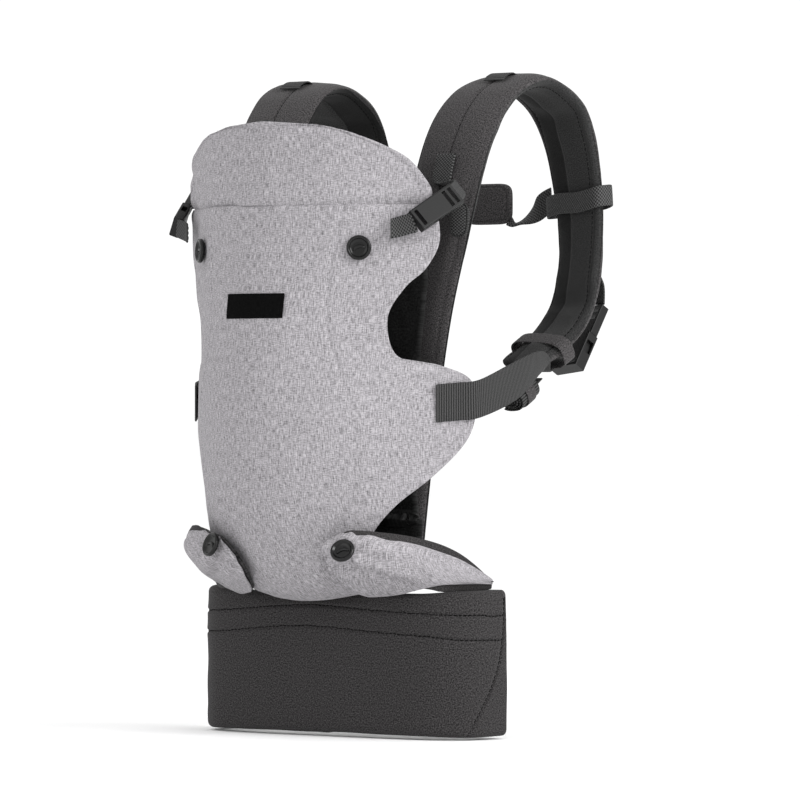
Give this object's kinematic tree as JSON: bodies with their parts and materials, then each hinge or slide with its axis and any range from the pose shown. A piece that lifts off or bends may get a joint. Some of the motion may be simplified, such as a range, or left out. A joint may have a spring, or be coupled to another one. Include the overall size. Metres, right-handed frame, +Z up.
{
  "type": "soft baby carrier",
  "caption": "Soft front baby carrier with a tall padded waistband, a grey fabric panel with arm holes and head support, dark padded shoulder straps and side-release buckles.",
  "frame": {"origin": "bottom centre of the whole carrier, level with the waistband's lower edge", "axes": "+Z up, -Y to the front (away from the wearer), +X to the right as the front is seen"},
  "size_m": [0.3294, 0.3309, 0.5642],
  "materials": {
    "melange_cloth": "heathered grey plain weave, matt",
    "dark_lining": "dark smooth lining cloth",
    "charcoal_cloth": "charcoal canvas, fine weave",
    "foam": "soft closed foam",
    "webbing": "ribbed polyester webbing",
    "buckle_plastic": "black moulded acetal, satin",
    "button_plastic": "black glossy button",
    "label": "plain black satin label, blank"
  },
  "bodies": {
    "carrier": {"belt_buckle_female": "buckle_plastic", "belt_webbing_left": "webbing", "belt_webbing_right": "webbing", "bib": "dark_lining", "flap_sockets": "button_plastic", "front_panel_cover": "melange_cloth", "front_panel_lining": "dark_lining", "label_patch": "label", "lower_buckle_female_left": "buckle_plastic", "lower_buckle_female_right": "buckle_plastic", "panel_buttons": "button_plastic", "panel_tab_left": "webbing", "panel_tab_right": "webbing", "shoulder_strap_cover_left": "charcoal_cloth", "shoulder_strap_cover_right": "charcoal_cloth", "shoulder_strap_foam_left": "foam", "shoulder_strap_foam_right": "foam", "shoulder_strap_lining_left": "dark_lining", "shoulder_strap_lining_right": "dark_lining", "strap_end_keeper_left": "charcoal_cloth", "strap_end_keeper_right": "charcoal_cloth", "strap_end_tab_left": "webbing", "strap_end_tab_right": "webbing", "strap_tab_left": "webbing", "strap_tab_right": "webbing", "strap_top_keepers": "webbing", "upper_buckle_female_left": "buckle_plastic", "upper_buckle_female_right": "buckle_plastic", "waistband_cover": "charcoal_cloth", "waistband_end_left": "charcoal_cloth", "waistband_end_right": "charcoal_cloth", "waistband_foam": "foam", "webbing_pack_left": "webbing", "webbing_pack_right": "webbing", "webbing_roll_left": "webbing", "webbing_roll_right": "webbing", "wing_webbing_left": "webbing", "wing_webbing_right": "webbing"},
    "head_support": {"head_support_cover": "melange_cloth", "head_support_padding": "dark_lining"},
    "seat_flap_left": {"seat_flap_left": "melange_cloth", "flap_button_left": "button_plastic"},
    "upper_buckle_left": {"upper_buckle_male_left": "buckle_plastic"},
    "lower_buckle_left": {"lower_buckle_male_left": "buckle_plastic"},
    "seat_flap_right": {"seat_flap_right": "melange_cloth", "flap_button_right": "button_plastic"},
    "upper_buckle_right": {"upper_buckle_male_right": "buckle_plastic"},
    "lower_buckle_right": {"lower_buckle_male_right": "buckle_plastic"},
    "back_strap": {"back_strap_loop_left": "webbing", "back_strap_loop_right": "webbing", "back_webbing_right": "webbing", "back_strap_pad": "charcoal_cloth", "back_buckle_female": "buckle_plastic", "back_webbing_left": "webbing"},
    "back_buckle": {"back_buckle_male": "buckle_plastic"},
    "belt_buckle": {"belt_buckle_male": "buckle_plastic"}
  },
  "joints": [
    {"name": "head_support_fold", "type": "hinge", "parent": "carrier", "child": "head_support", "pos_m": [0, -0.1496, 0.4483], "axis": [1, 0, 0], "range_deg": [0, 35]},
    {"name": "seat_flap_right_open", "type": "hinge", "parent": "carrier", "child": "seat_flap_right", "pos_m": [0.145, -0.017, 0.1244], "axis": [0, 0, 1], "range_deg": [0, 40]},
    {"name": "seat_flap_left_open", "type": "hinge", "parent": "carrier", "child": "seat_flap_left", "pos_m": [-0.145, -0.017, 0.1244], "axis": [0, 0, -1], "range_deg": [0, 40]},
    {"name": "upper_buckle_right_release", "type": "slide", "parent": "carrier", "child": "upper_buckle_right", "axis": [0.2999, 0.7998, 0.5199], "range_m": [0, 0.016], "deforming": ["strap_tab_right"]},
    {"name": "upper_buckle_left_release", "type": "slide", "parent": "carrier", "child": "upper_buckle_left", "axis": [-0.2999, 0.7998, 0.5199], "range_m": [0, 0.016], "deforming": ["strap_tab_left"]},
    {"name": "lower_buckle_right_release", "type": "slide", "parent": "carrier", "child": "lower_buckle_right", "axis": [0.0299, 0.559, 0.8286], "range_m": [0, 0.023], "deforming": ["strap_end_tab_right"]},
    {"name": "lower_buckle_left_release", "type": "slide", "parent": "carrier", "child": "lower_buckle_left", "axis": [-0.0299, 0.559, 0.8286], "range_m": [0, 0.023], "deforming": ["strap_end_tab_left"]},
    {"name": "back_strap_height", "type": "slide", "parent": "carrier", "child": "back_strap", "axis": [0, 0, 1], "range_m": [-0.015, 0.012]},
    {"name": "back_buckle_release", "type": "slide", "parent": "back_strap", "child": "back_buckle", "axis": [-1, 0, 0], "range_m": [0, 0.017], "deforming": ["back_webbing_left"]},
    {"name": "belt_buckle_release", "type": "slide", "parent": "carrier", "child": "belt_buckle", "axis": [-1, 0, 0], "range_m": [0, 0.034], "deforming": ["belt_webbing_left"]}
  ]
}
